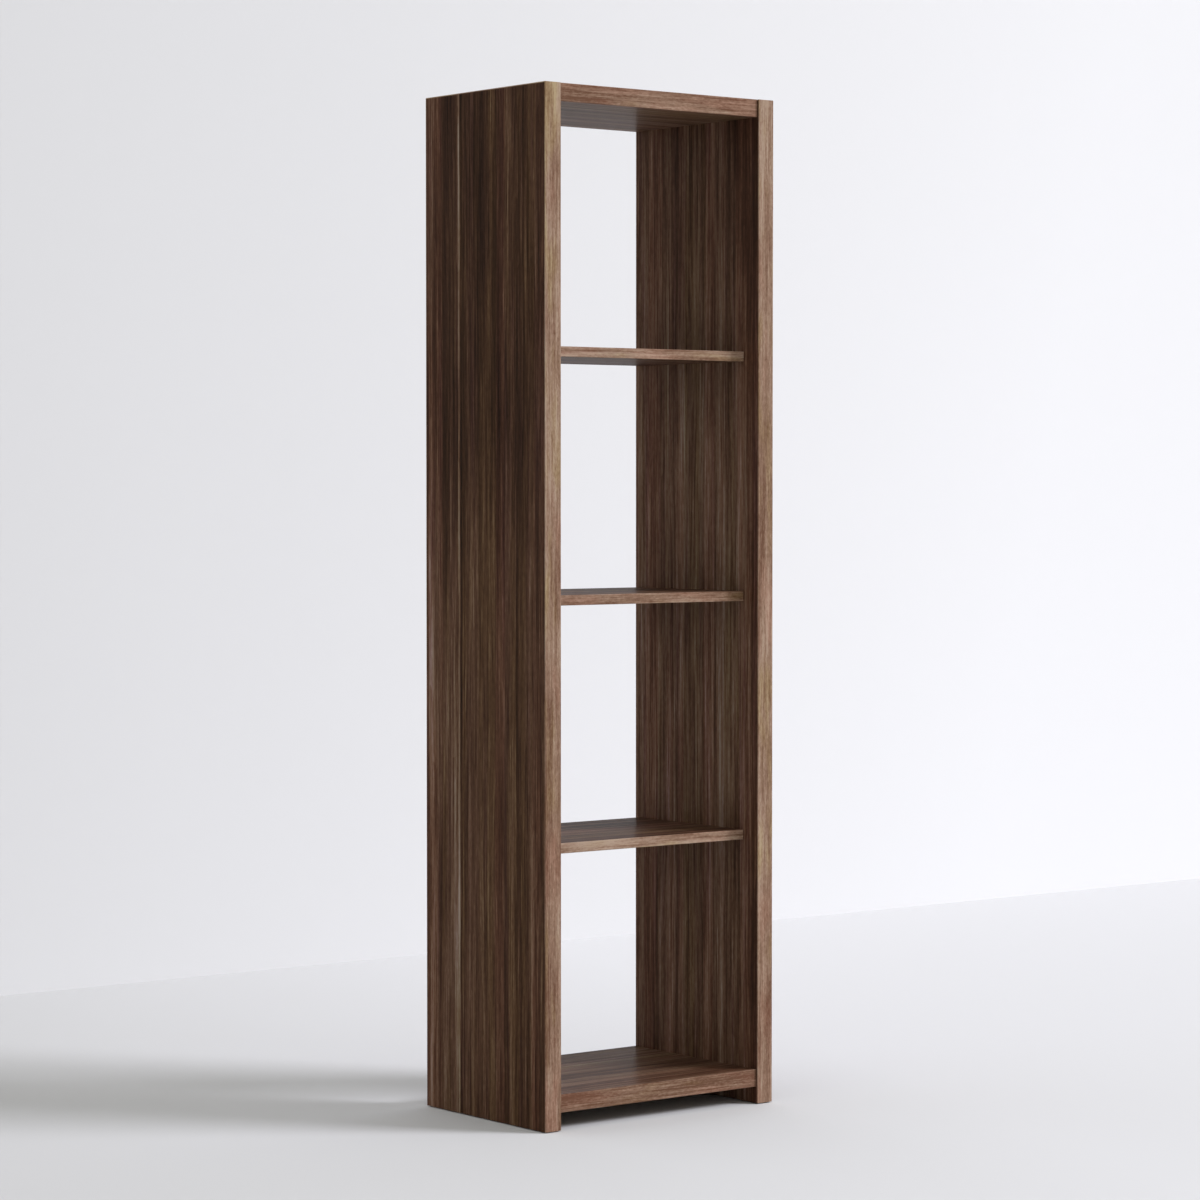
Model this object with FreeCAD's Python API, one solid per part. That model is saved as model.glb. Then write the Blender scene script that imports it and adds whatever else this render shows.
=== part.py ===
import FreeCAD, Part
import math
import os
from FreeCAD import Vector

# Tall open bookcase of walnut-veneered board, in millimetres.
# +Z is up, +X is to the right and the front looks along -Y. The origin is on the floor, in the
# middle of the footprint. Two full-height sides carry a top, a raised bottom panel and three loose
# shelves. There is no back. Cam locks and dowels hold the case together, the shelves slide on
# hidden pins, and four levelling feet stand in recesses under the sides.

# The case
HEIGHT = 2000.0
WIDTH = 570.0
DEPTH = 390.0
SIDE_THICKNESS = 38.0
TOP_THICKNESS = 35.0
BOTTOM_THICKNESS = 35.0
TOE_SPACE = 35.0  # from the floor to the underside of the bottom panel
FLOOR_GAP = 2.0  # the sides stand this far off the floor, on the feet
PANEL_RECESS = 5.0  # the top and bottom lie this far behind the front of the sides

# The edging, solid walnut strips glued to the cut edges of the boards
EDGING = 2.0
ARRIS_RADIUS = 1.2
ARRIS_SHARE_OF_EDGING = 0.7  # an arris never rounds away more than this share of its strip

# The shelves
SHELF_NAMES = ("lower", "middle", "upper")
SHELF_THICKNESS = 20.0
SHELF_SETBACK = 44.0  # from the front of the sides to the front of a shelf
SHELF_REAR_GAP = 10.0
SHELF_END_GAP = 0.5
TOP_BAY_EXTRA = 5.0  # the bay under the top is this much taller than the three bays below it

# The shelf pins, steel rods seated in the sides, and the grooves that the shelves slide on
PIN_DIAMETER = 6.0
PIN_SEAT = 14.0
PIN_PROJECTION = 10.0
PIN_CHAMFER = 0.6
PIN_FROM_FRONT = 50.0  # from the front of a shelf to its front pin
PIN_FROM_REAR = 100.0
GROOVE_CLEARANCE = 0.2
GROOVE_END_CLEARANCE = 1.0

# The corner joints of the case: at each panel end, two cam locks with a dowel beside each
CAM_DIAMETER = 15.0
CAM_WALL = 2.3
CAM_FLOOR = 1.3
CAM_SINK = 0.3  # the cam lies this far below the face that it is drilled into
CAM_CLEARANCE = 0.1
CAM_BORE_SPARE = 0.3
CAM_TURN = 180.0  # degrees from locked to open
CAM_SETBACK = 24.0  # from the end of the panel to the axis of the cam
CAM_INSET = 60.0  # from the front or rear of the panel to the axis of the cam
CROSS_LENGTH = 7.5
CROSS_WIDTH = 1.5
CROSS_DEPTH = 3.0
BALL_OFFSET = 1.6  # the head of the bolt sits this far off the axis of the cam
BALL_CLEARANCE = 0.3
BALL_LIP = 1.1  # the head stands this far proud of the neck
BALL_FLAT = 2.4  # across the flat end of the head
SHANK_DIAMETER = 7.0
SHANK_GAP = 0.5  # between the shank and the cam
THREAD_DIAMETER = 6.0
THREAD_LENGTH = 13.0
DOWEL_DIAMETER = 8.0
DOWEL_LENGTH = 35.0
DOWEL_IN_SIDE = 14.0
DOWEL_CHAMFER = 1.0
DOWEL_SPACING = 32.0  # from the axis of the cam to the dowel beside it
HOLE_CLEARANCE = 0.1  # around bolts, dowels, pins and sleeves, on the radius
HOLE_SPARE = 1.0  # past the end of a bolt or dowel

# The levelling feet: a nylon pad on a steel stud, in a threaded sleeve
PAD_DIAMETER = 21.0
PAD_THICKNESS = 6.0
PAD_EDGE_RADIUS = 1.0
PAD_CLEARANCE = 1.2
STUD_DIAMETER = 8.0
STUD_LENGTH = 30.0  # above the pad
STUD_IN_PAD = 3.5
STUD_HOLE_CLEARANCE = 0.5  # around the stud, above its sleeve
STUD_CHAMFER = 1.0
SLEEVE_DIAMETER = 14.0
SLEEVE_LENGTH = 22.0
FOOT_INSET = 45.0  # from the front or rear of the sides to the axis of the foot

# The pilot holes in the rear edge of the top, for screws that tie the case to a wall
WALL_HOLE_DIAMETER = 4.0
WALL_HOLE_DEPTH = 40.0
WALL_HOLE_SPACING = 300.0

# Directions, and which way each end and row lies
CENTRE = Vector(0, 0, 0)
RIGHT = Vector(1, 0, 0)
LEFT = Vector(-1, 0, 0)
FRONT = Vector(0, -1, 0)
REAR = Vector(0, 1, 0)
UP = Vector(0, 0, 1)
DOWN = Vector(0, 0, -1)
ENDS = {"left": -1, "right": 1}
ROWS = {"front": -1, "rear": 1}
PANEL_THICKNESS = {"top": TOP_THICKNESS, "bottom": BOTTOM_THICKNESS}
CAM_FACE = {"top": 1, "bottom": -1}  # cams open upwards in the top and downwards in the bottom

# Places that follow from the sizes
case_front = -DEPTH / 2
case_rear = DEPTH / 2
inner_half = WIDTH / 2 - SIDE_THICKNESS
panel_front = case_front + PANEL_RECESS
panel_rear = case_rear
top_underside = HEIGHT - TOP_THICKNESS
bottom_surface = TOE_SPACE + BOTTOM_THICKNESS
bolt_height = {"top": HEIGHT - TOP_THICKNESS / 2, "bottom": TOE_SPACE + BOTTOM_THICKNESS / 2}
shelf_half = inner_half - SHELF_END_GAP
shelf_front = case_front + SHELF_SETBACK
shelf_rear = case_rear - SHELF_REAR_GAP
arris_radius = min(ARRIS_RADIUS, ARRIS_SHARE_OF_EDGING * EDGING)

shelf_count = len(SHELF_NAMES)
clear_height = top_underside - bottom_surface - shelf_count * SHELF_THICKNESS
bay_height = (clear_height - TOP_BAY_EXTRA) / (shelf_count + 1)
shelf_underside = {
    name: bottom_surface + bay_height + number * (bay_height + SHELF_THICKNESS)
    for number, name in enumerate(SHELF_NAMES)
}
pin_row = {"front": shelf_front + PIN_FROM_FRONT, "rear": shelf_rear - PIN_FROM_REAR}

chamber_radius = CAM_DIAMETER / 2 - CAM_WALL
ball_radius = chamber_radius - BALL_OFFSET - BALL_CLEARANCE
chamber_half = ball_radius + BALL_CLEARANCE
neck_radius = ball_radius - BALL_LIP
cam_depth_below_bolt = chamber_half + CAM_FLOOR
cam_row = {"front": panel_front + CAM_INSET, "rear": panel_rear - CAM_INSET}
dowel_row = {row: cam_row[row] - sign * DOWEL_SPACING for row, sign in ROWS.items()}

pad_recess = PAD_THICKNESS - FLOOR_GAP
foot_x = WIDTH / 2 - SIDE_THICKNESS / 2
foot_row = {row: sign * (DEPTH / 2 - FOOT_INSET) for row, sign in ROWS.items()}


def block(x_range, y_range, z_range):
    """A rectangular board that fills the three ranges."""
    low, high = zip(x_range, y_range, z_range)
    return Part.makeBox(*(b - a for a, b in zip(low, high)), Vector(*low))


def rod(start, direction, length, diameter):
    return Part.makeCylinder(diameter / 2, length, start, direction)


def drill(start, direction, depth, diameter, clearance=HOLE_CLEARANCE):
    """The hole for a rod of that diameter, begun a little outside the face so that it cuts cleanly."""
    outside = start - direction * HOLE_SPARE
    return rod(outside, direction, depth + HOLE_SPARE, diameter + 2 * clearance)


def chamfered_rod(start, direction, length, diameter, chamfer):
    """A rod with both ends broken by a small chamfer."""
    shape = rod(start, direction, length, diameter)
    rims = [edge for edge in shape.Edges if edge.isClosed()]
    return shape.makeChamfer(chamfer, rims)


def eased(strip, exposed):
    """The strip with its arris rounded wherever two of its exposed faces meet."""
    shown = [
        face for face in strip.Faces
        if any(face.normalAt(0, 0).isEqual(side, 1e-6) for side in exposed)
    ]
    arrises = [
        edge for edge in strip.Edges
        if sum(any(edge.isSame(border) for border in face.Edges) for face in shown) == 2
    ]
    return strip.makeFillet(arris_radius, arrises)


def placed(shape, end_sign, face_sign, place):
    """A fitting drawn with its bolt along +X and its face up, turned to its panel end and moved there."""
    copy = shape.copy()
    if face_sign < 0:
        copy.rotate(CENTRE, RIGHT, 180)
    if end_sign < 0:
        copy.rotate(CENTRE, UP, 180)
    copy.translate(place)
    return copy


def side_panel(end):
    """One full-height side, drilled for the bolts, dowels, shelf pins and feet."""
    sign = ENDS[end]
    into_side = RIGHT * sign
    holes = []
    for panel in PANEL_THICKNESS:
        z = bolt_height[panel]
        for row in ROWS:
            bolt = Vector(sign * inner_half, cam_row[row], z)
            dowel = Vector(sign * inner_half, dowel_row[row], z)
            holes.append(drill(bolt, into_side, THREAD_LENGTH + HOLE_SPARE, THREAD_DIAMETER))
            holes.append(drill(dowel, into_side, DOWEL_IN_SIDE + HOLE_SPARE, DOWEL_DIAMETER))
    for underside in shelf_underside.values():
        for y in pin_row.values():
            seat = Vector(sign * inner_half, y, underside + SHELF_THICKNESS / 2)
            holes.append(drill(seat, into_side, PIN_SEAT, PIN_DIAMETER))
    for y in foot_row.values():
        mouth = Vector(sign * foot_x, y, FLOOR_GAP)
        ceiling = mouth + UP * pad_recess
        holes.append(drill(mouth, UP, pad_recess, PAD_DIAMETER, PAD_CLEARANCE))
        holes.append(drill(ceiling, UP, SLEEVE_LENGTH, SLEEVE_DIAMETER))
        holes.append(drill(ceiling, UP, STUD_LENGTH + HOLE_SPARE, STUD_DIAMETER, STUD_HOLE_CLEARANCE))
    across = sorted((sign * inner_half, sign * WIDTH / 2))
    board = block(across, (case_front + EDGING, case_rear - EDGING), (FLOOR_GAP, HEIGHT - EDGING))
    return board.cut(holes)


def side_edging(end):
    """The strips on the front, rear and top edges of one side."""
    sign = ENDS[end]
    across = sorted((sign * inner_half, sign * WIDTH / 2))
    full_height = (FLOOR_GAP, HEIGHT)
    front = block(across, (case_front, case_front + EDGING), full_height)
    rear = block(across, (case_rear - EDGING, case_rear), full_height)
    top = block(across, (case_front + EDGING, case_rear - EDGING), (HEIGHT - EDGING, HEIGHT))
    return {
        f"{end}_side_front_edging": eased(front, (FRONT, LEFT, RIGHT, UP)),
        f"{end}_side_rear_edging": eased(rear, (REAR, LEFT, RIGHT, UP)),
        f"{end}_side_top_edging": eased(top, (UP, LEFT, RIGHT)),
    }


def wall_holes():
    """The two pilot holes in the rear edge of the top."""
    mouths = [Vector(sign * WALL_HOLE_SPACING / 2, panel_rear, bolt_height["top"]) for sign in ENDS.values()]
    return [drill(mouth, FRONT, WALL_HOLE_DEPTH, WALL_HOLE_DIAMETER, 0) for mouth in mouths]


def case_panel(panel):
    """The top or bottom panel, bored for cams from its hidden face and for bolts and dowels from its ends."""
    z = bolt_height[panel]
    half = PANEL_THICKNESS[panel] / 2
    facing = UP * CAM_FACE[panel]
    cam_depth = half + cam_depth_below_bolt + CAM_BORE_SPARE
    holes = []
    for sign in ENDS.values():
        inwards = LEFT * sign
        for row in ROWS:
            end_of_panel = Vector(sign * inner_half, cam_row[row], z)
            cam_mouth = end_of_panel + inwards * CAM_SETBACK + facing * half
            dowel = Vector(sign * inner_half, dowel_row[row], z)
            holes.append(drill(cam_mouth, facing * -1, cam_depth, CAM_DIAMETER, CAM_CLEARANCE))
            holes.append(drill(end_of_panel, inwards, CAM_SETBACK, SHANK_DIAMETER))
            holes.append(drill(dowel, inwards, DOWEL_LENGTH - DOWEL_IN_SIDE + HOLE_SPARE, DOWEL_DIAMETER))
    across = (-inner_half, inner_half)
    upright = (z - half, z + half)
    board = block(across, (panel_front + EDGING, panel_rear - EDGING), upright)
    front = block(across, (panel_front, panel_front + EDGING), upright)
    rear = eased(block(across, (panel_rear - EDGING, panel_rear), upright), (REAR, UP, DOWN))
    if panel == "top":
        holes += wall_holes()
        rear = rear.cut(wall_holes())
    return {
        f"{panel}_panel": board.cut(holes),
        f"{panel}_front_edging": eased(front, (FRONT, UP, DOWN)),
        f"{panel}_rear_edging": rear,
    }


def shelf_groove(sign, z):
    """The stopped groove in one end of a shelf: round where the front pin stops it, open at the rear."""
    width = PIN_DIAMETER + 2 * GROOVE_CLEARANCE
    depth = PIN_PROJECTION - SHELF_END_GAP + GROOVE_END_CLEARANCE
    end_of_shelf = Vector(sign * shelf_half, pin_row["front"], z)
    rounded = drill(end_of_shelf, LEFT * sign, depth, width, 0)
    across = sorted((sign * (shelf_half - depth), sign * (shelf_half + HOLE_SPARE)))
    run = block(across, (pin_row["front"], shelf_rear + HOLE_SPARE), (z - width / 2, z + width / 2))
    return rounded.fuse(run)


def shelf(name):
    """One loose shelf with its edging, grooved at both ends."""
    underside = shelf_underside[name]
    upright = (underside, underside + SHELF_THICKNESS)
    across = (-shelf_half, shelf_half)
    grooves = [shelf_groove(sign, underside + SHELF_THICKNESS / 2) for sign in ENDS.values()]
    board = block(across, (shelf_front + EDGING, shelf_rear - EDGING), upright)
    front = block(across, (shelf_front, shelf_front + EDGING), upright)
    rear = block(across, (shelf_rear - EDGING, shelf_rear), upright)
    return {
        f"{name}_shelf": board.cut(grooves),
        f"{name}_shelf_front_edging": eased(front, (FRONT, UP, DOWN, LEFT, RIGHT)),
        f"{name}_shelf_rear_edging": eased(rear, (REAR, UP, DOWN)).cut(grooves),
    }


def shelf_pins(name):
    """The four pins that carry one shelf."""
    z = shelf_underside[name] + SHELF_THICKNESS / 2
    length = PIN_SEAT + PIN_PROJECTION
    pins = []
    for sign in ENDS.values():
        for y in pin_row.values():
            seat = Vector(sign * (inner_half + PIN_SEAT), y, z)
            pins.append(chamfered_rod(seat, LEFT * sign, length, PIN_DIAMETER, PIN_CHAMFER))
    return Part.makeCompound(pins)


def cam_lock(half_thickness):
    """A cam at the origin, locked: the bolt arrives along +X, and the screwdriver face is up."""
    face = half_thickness - CAM_SINK
    body = rod(DOWN * cam_depth_below_bolt, UP, cam_depth_below_bolt + face, CAM_DIAMETER)
    chamber = rod(DOWN * chamber_half, UP, 2 * chamber_half, 2 * chamber_radius)
    slot_half = neck_radius + BALL_CLEARANCE
    slot = Part.makeCylinder(CAM_DIAMETER, 2 * slot_half, DOWN * slot_half, UP, CAM_TURN)
    slot.rotate(CENTRE, UP, -CAM_TURN)
    locked_end = rod(CENTRE, RIGHT, CAM_DIAMETER, 2 * slot_half)
    way_in = rod(CENTRE, RIGHT, CAM_DIAMETER, 2 * chamber_half)
    way_in.rotate(CENTRE, UP, -CAM_TURN)
    long_way = (-CROSS_LENGTH / 2, CROSS_LENGTH / 2)
    short_way = (-CROSS_WIDTH / 2, CROSS_WIDTH / 2)
    deep = (face - CROSS_DEPTH, face + CAM_SINK)
    cross = [block(long_way, short_way, deep), block(short_way, long_way, deep)]
    return body.cut([chamber, slot, locked_end, way_in] + cross)


def cam_bolt():
    """The bolt of a cam at the origin: a ball head inside the cam, a neck, a shank and a screwed end."""
    shank_start = CAM_DIAMETER / 2 + SHANK_GAP
    shank_radius = SHANK_DIAMETER / 2
    thread_radius = THREAD_DIAMETER / 2
    thread_end = CAM_SETBACK + THREAD_LENGTH
    flat_radius = BALL_FLAT / 2
    flat = Vector(BALL_OFFSET - math.sqrt(ball_radius**2 - flat_radius**2), flat_radius, 0)
    crown = Vector(BALL_OFFSET, ball_radius, 0)
    throat = Vector(BALL_OFFSET + math.sqrt(ball_radius**2 - neck_radius**2), neck_radius, 0)
    steps = [
        throat,
        Vector(shank_start, neck_radius, 0),
        Vector(shank_start, shank_radius, 0),
        Vector(CAM_SETBACK, shank_radius, 0),
        Vector(CAM_SETBACK, thread_radius, 0),
        Vector(thread_end, thread_radius, 0),
        Vector(thread_end, 0, 0),
        Vector(flat.x, 0, 0),
        flat,
    ]
    head = Part.Arc(flat, crown, throat).toShape()
    outline = Part.Wire([head] + Part.makePolygon(steps).Edges)
    return Part.Face(outline).revolve(CENTRE, RIGHT, 360)


def corner_fittings(panel):
    """The cams of one panel as separate pieces, and its bolts and dowels as two groups."""
    z = bolt_height[panel]
    cam = cam_lock(PANEL_THICKNESS[panel] / 2)
    fittings, bolts, dowels = {}, [], []
    for end, sign in ENDS.items():
        for row in ROWS:
            axis = Vector(sign * (inner_half - CAM_SETBACK), cam_row[row], z)
            fittings[f"{panel}_{end}_{row}_cam"] = placed(cam, sign, CAM_FACE[panel], axis)
            bolts.append(placed(cam_bolt(), sign, CAM_FACE[panel], axis))
            dowel = Vector(sign * (inner_half + DOWEL_IN_SIDE), dowel_row[row], z)
            dowels.append(chamfered_rod(dowel, LEFT * sign, DOWEL_LENGTH, DOWEL_DIAMETER, DOWEL_CHAMFER))
    fittings[f"{panel}_cam_bolts"] = Part.makeCompound(bolts)
    fittings[f"{panel}_dowels"] = Part.makeCompound(dowels)
    return fittings


def foot_pad():
    """A nylon pad standing on the floor at the origin, with a blind hole for its stud."""
    pad = rod(CENTRE, UP, PAD_THICKNESS, PAD_DIAMETER)
    rims = [edge for edge in pad.Edges if edge.isClosed()]
    pad = pad.makeFillet(PAD_EDGE_RADIUS, rims)
    top = UP * PAD_THICKNESS
    return pad.cut(drill(top, DOWN, STUD_IN_PAD, STUD_DIAMETER))


def foot_stud():
    start = UP * (PAD_THICKNESS - STUD_IN_PAD)
    return chamfered_rod(start, UP, STUD_IN_PAD + STUD_LENGTH, STUD_DIAMETER, STUD_CHAMFER)


def foot_sleeve():
    """The threaded sleeve above the pad, fixed in the side."""
    start = UP * PAD_THICKNESS
    bore = rod(start, UP, SLEEVE_LENGTH, STUD_DIAMETER + 2 * HOLE_CLEARANCE)
    return rod(start, UP, SLEEVE_LENGTH, SLEEVE_DIAMETER).cut(bore)


def feet():
    """The four feet, each a pad and a stud, and their sleeves as one group."""
    fittings, sleeves = {}, []
    for end, sign in ENDS.items():
        for row in ROWS:
            place = Vector(sign * foot_x, foot_row[row], 0)
            fittings[f"{end}_{row}_foot_pad"] = foot_pad().translated(place)
            fittings[f"{end}_{row}_foot_stud"] = foot_stud().translated(place)
            sleeves.append(foot_sleeve().translated(place))
    fittings["foot_sleeves"] = Part.makeCompound(sleeves)
    return fittings


def bookcase():
    """Every piece of the bookcase, by name."""
    pieces = {}
    for end in ENDS:
        pieces[f"{end}_side_panel"] = side_panel(end)
        pieces.update(side_edging(end))
    for panel in PANEL_THICKNESS:
        pieces.update(case_panel(panel))
        pieces.update(corner_fittings(panel))
    for name in SHELF_NAMES:
        pieces.update(shelf(name))
        pieces[f"{name}_shelf_pins"] = shelf_pins(name)
    pieces.update(feet())
    return pieces


def export(pieces):
    os.makedirs("parts", exist_ok=True)
    for name, shape in pieces.items():
        if not shape.isValid():
            raise ValueError(f"{name} is not a valid solid")
        shape.exportStep(f"parts/{name}.step")
        print(f"{name}: {len(shape.Solids)} solid(s), {shape.Volume / 1000:.2f} cm3")


export(bookcase())
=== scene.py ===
import math
from collections import namedtuple

import bpy
from bpy.props import FloatProperty, FloatVectorProperty, PointerProperty
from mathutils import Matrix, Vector


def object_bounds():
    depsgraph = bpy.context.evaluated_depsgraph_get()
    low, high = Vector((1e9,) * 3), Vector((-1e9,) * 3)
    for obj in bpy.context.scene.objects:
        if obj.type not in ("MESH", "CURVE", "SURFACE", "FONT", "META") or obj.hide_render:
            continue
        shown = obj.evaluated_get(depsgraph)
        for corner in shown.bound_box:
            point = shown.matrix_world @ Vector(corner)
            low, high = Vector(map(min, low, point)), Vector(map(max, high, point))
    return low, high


# Dresses an open walnut bookcase: striped veneer on the boards, lighter strips along their edges,
# metal, nylon and beech on the fittings, and a pale studio around it. Lengths are in metres, in the
# frame of the model: +Z up, the front looking along -Y, the origin on the floor under the middle.

bl_info = {
    "name": "Walnut bookcase",
    "version": (1, 0, 0),
    "blender": (4, 5, 0),
    "location": "3D View > Sidebar > Bookcase",
    "description": "Finishes an open bookcase in striped walnut and sets up its studio",
    "category": "Object",
}

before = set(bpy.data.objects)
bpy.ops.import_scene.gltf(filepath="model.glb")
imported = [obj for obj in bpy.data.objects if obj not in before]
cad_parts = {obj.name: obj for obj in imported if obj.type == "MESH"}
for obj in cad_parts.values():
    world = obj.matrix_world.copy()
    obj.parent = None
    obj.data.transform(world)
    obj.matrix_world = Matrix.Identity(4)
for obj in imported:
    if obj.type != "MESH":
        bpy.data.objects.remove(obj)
CAD_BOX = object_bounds()

ENDS = ("left", "right")
ROWS = ("front", "rear")
SHELVES = ("lower", "middle", "upper")
CASE_PANELS = ("top", "bottom")
X, Y, Z = 0, 1, 2

# Sockets of a Mix node that mixes colours
MIX_FACTOR, MIX_FIRST, MIX_SECOND, MIX_RESULT = 0, 6, 7, 2


def srgb(red, green, blue):
    """A colour as it looks on screen, 0 to 255, as the linear values that shaders take."""
    def linear(value):
        share = value / 255
        return share / 12.92 if share <= 0.04045 else ((share + 0.055) / 1.055) ** 2.4
    return tuple(linear(value) for value in (red, green, blue))


def opaque(colour):
    return (*colour, 1.0)


def dimmed(colour, factor):
    return tuple(factor * value for value in colour)


# Settings


def colour_setting(name, description, default):
    return FloatVectorProperty(
        name=name, description=description, default=default, subtype="COLOR", min=0, max=2
    )


def length_setting(name, description, default):
    return FloatProperty(name=name, description=description, default=default, unit="LENGTH", min=0)


def contrast_setting(name, description, default):
    return FloatProperty(
        name=name, description=description, default=default, subtype="FACTOR", min=0, max=2
    )


def roughness_setting(name, description, default):
    return FloatProperty(
        name=name, description=description, default=default, subtype="FACTOR", min=0, max=1
    )


class VeneerSettings(bpy.types.PropertyGroup):
    """The striped walnut veneer on the faces of the boards."""

    deepest: colour_setting("Deepest", "Nearly black growth lines", srgb(36, 22, 14))
    dark: colour_setting("Dark streaks", "Dark growth in the veneer", srgb(64, 43, 31))
    ground: colour_setting("Ground", "Main colour of the veneer", srgb(89, 64, 49))
    light: colour_setting("Light streaks", "Light growth in the veneer", srgb(118, 94, 76))
    palest: colour_setting("Palest", "Sapwood and the joints of the leaves", srgb(152, 138, 125))
    red: colour_setting("Red cast", "Tint of the warm strips", (1.07, 0.97, 0.95))
    olive: colour_setting("Olive cast", "Tint of the cool strips", (0.98, 1.01, 0.84))
    plum: colour_setting("Plum cast", "Tint of the greyest streaks", (1.01, 0.96, 1.14))
    tone: contrast_setting("Tone", "Middle tone, from the deepest to the palest", 0.47)
    strip_width: length_setting("Strip width", "Width of the strips of even tone", 0.030)
    strip_contrast: contrast_setting("Strip contrast", "Between the strips of even tone", 0.17)
    band_width: length_setting("Band width", "Width of the broad bands", 0.026)
    band_length: length_setting("Band length", "Length over which a broad band fades", 0.6)
    band_contrast: contrast_setting("Band contrast", "Of the broad bands", 0.52)
    ring_spacing: length_setting("Ring spacing", "Between the growth rings", 0.010)
    ring_contrast: contrast_setting("Ring contrast", "Of the growth rings", 0.08)
    streak_width: length_setting("Streak width", "Width of the streaks inside a band", 0.007)
    streak_length: length_setting("Streak length", "Length over which a streak fades", 0.50)
    streak_contrast: contrast_setting("Streak contrast", "Of the streaks", 0.78)
    line_width: length_setting("Line width", "Width of the fine grain lines", 0.0034)
    line_length: length_setting("Line length", "Length of the fine grain lines", 0.10)
    line_contrast: contrast_setting("Line contrast", "Of the fine grain lines", 0.70)
    fleck_width: length_setting("Fleck width", "Width of the short flecks", 0.0042)
    fleck_length: length_setting("Fleck length", "Length of the short flecks", 0.014)
    fleck_contrast: contrast_setting("Fleck contrast", "Of the short flecks", 0.26)
    pore_width: length_setting("Pore width", "Width of the open pores", 0.0006)
    pore_length: length_setting("Pore length", "Length of the open pores", 0.012)
    pore_contrast: contrast_setting("Pore contrast", "How much darker the pores are", 0.10)
    cast_width: length_setting("Cast width", "Width of the warm and cool streaks", 0.02)
    cast_length: length_setting("Cast length", "Length of the warm and cool streaks", 0.6)
    cast_contrast: contrast_setting("Cast contrast", "Of the warm and cool streaks", 1.2)
    plum_width: length_setting("Plum width", "Width of the greyest streaks", 0.012)
    plum_length: length_setting("Plum length", "Length of the greyest streaks", 0.5)
    roughness: roughness_setting("Roughness", "Of the wood under the lacquer", 0.6)
    side_gloss: contrast_setting("Side gloss", "How much lacquer is on the sides", 0.09)
    top_gloss: contrast_setting("Top gloss", "How much lacquer is on the top", 0.19)
    shelf_gloss: contrast_setting("Shelf gloss", "How much lacquer is on the shelves and bottom", 0.15)


class EdgingSettings(bpy.types.PropertyGroup):
    """The lighter solid walnut strips on the edges of the boards."""

    dark: colour_setting("Dark grain", "Darkest lines in the edging", srgb(102, 73, 57))
    middle: colour_setting("Ground", "Main colour of the edging", srgb(139, 112, 94))
    light: colour_setting("Light grain", "Lightest lines in the edging", srgb(168, 146, 128))
    rose: colour_setting("Rose cast", "Tint of the pink patches", (1.06, 0.97, 0.97))
    honey: colour_setting("Honey cast", "Tint of the yellow patches", (0.99, 1.02, 0.82))
    tone: contrast_setting("Tone", "Middle tone, from the darkest to the lightest", 0.5)
    cloud_width: length_setting("Cloud width", "Width of the light and dark patches", 0.05)
    cloud_length: length_setting("Cloud length", "Length of the light and dark patches", 0.25)
    cloud_contrast: contrast_setting("Cloud contrast", "Of the light and dark patches", 1.10)
    streak_width: length_setting("Streak width", "Width of the streaks", 0.006)
    streak_length: length_setting("Streak length", "Length over which a streak fades", 0.30)
    streak_contrast: contrast_setting("Streak contrast", "Of the streaks", 1.10)
    line_width: length_setting("Line width", "Width of the fine grain lines", 0.0018)
    line_length: length_setting("Line length", "Length of the fine grain lines", 0.06)
    line_contrast: contrast_setting("Line contrast", "Of the fine grain lines", 1.10)
    fleck_width: length_setting("Fleck width", "Width of the short flecks", 0.0030)
    fleck_length: length_setting("Fleck length", "Length of the short flecks", 0.008)
    fleck_contrast: contrast_setting("Fleck contrast", "Of the short flecks", 0.75)
    pore_width: length_setting("Pore width", "Width of the open pores", 0.0007)
    pore_length: length_setting("Pore length", "Length of the open pores", 0.010)
    pore_contrast: contrast_setting("Pore contrast", "How much darker the pores are", 0.2)
    cast_width: length_setting("Cast width", "Width of the pink and yellow patches", 0.03)
    cast_length: length_setting("Cast length", "Length of the pink and yellow patches", 0.16)
    roughness: roughness_setting("Roughness", "Of the wood under the lacquer", 0.55)
    gloss: contrast_setting("Gloss", "How much lacquer is on the edging", 0.12)


class FittingSettings(bpy.types.PropertyGroup):
    """The metal, nylon and beech of the hidden fittings."""

    steel: colour_setting("Plated steel", "Pins, bolts and studs", srgb(198, 199, 201))
    zinc: colour_setting("Die-cast zinc", "Cam locks", srgb(176, 176, 178))
    brass: colour_setting("Brass", "Sleeves of the feet", srgb(214, 178, 110))
    nylon: colour_setting("Nylon", "Pads of the feet", srgb(44, 39, 36))
    beech: colour_setting("Beech", "Dowels", srgb(205, 170, 128))
    steel_roughness: roughness_setting("Steel roughness", "Of the pins, bolts and studs", 0.3)
    zinc_roughness: roughness_setting("Zinc roughness", "Of the cam locks", 0.42)
    brass_roughness: roughness_setting("Brass roughness", "Of the sleeves of the feet", 0.32)
    nylon_roughness: roughness_setting("Nylon roughness", "Of the pads of the feet", 0.45)
    beech_roughness: roughness_setting("Beech roughness", "Of the dowels", 0.7)


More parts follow.
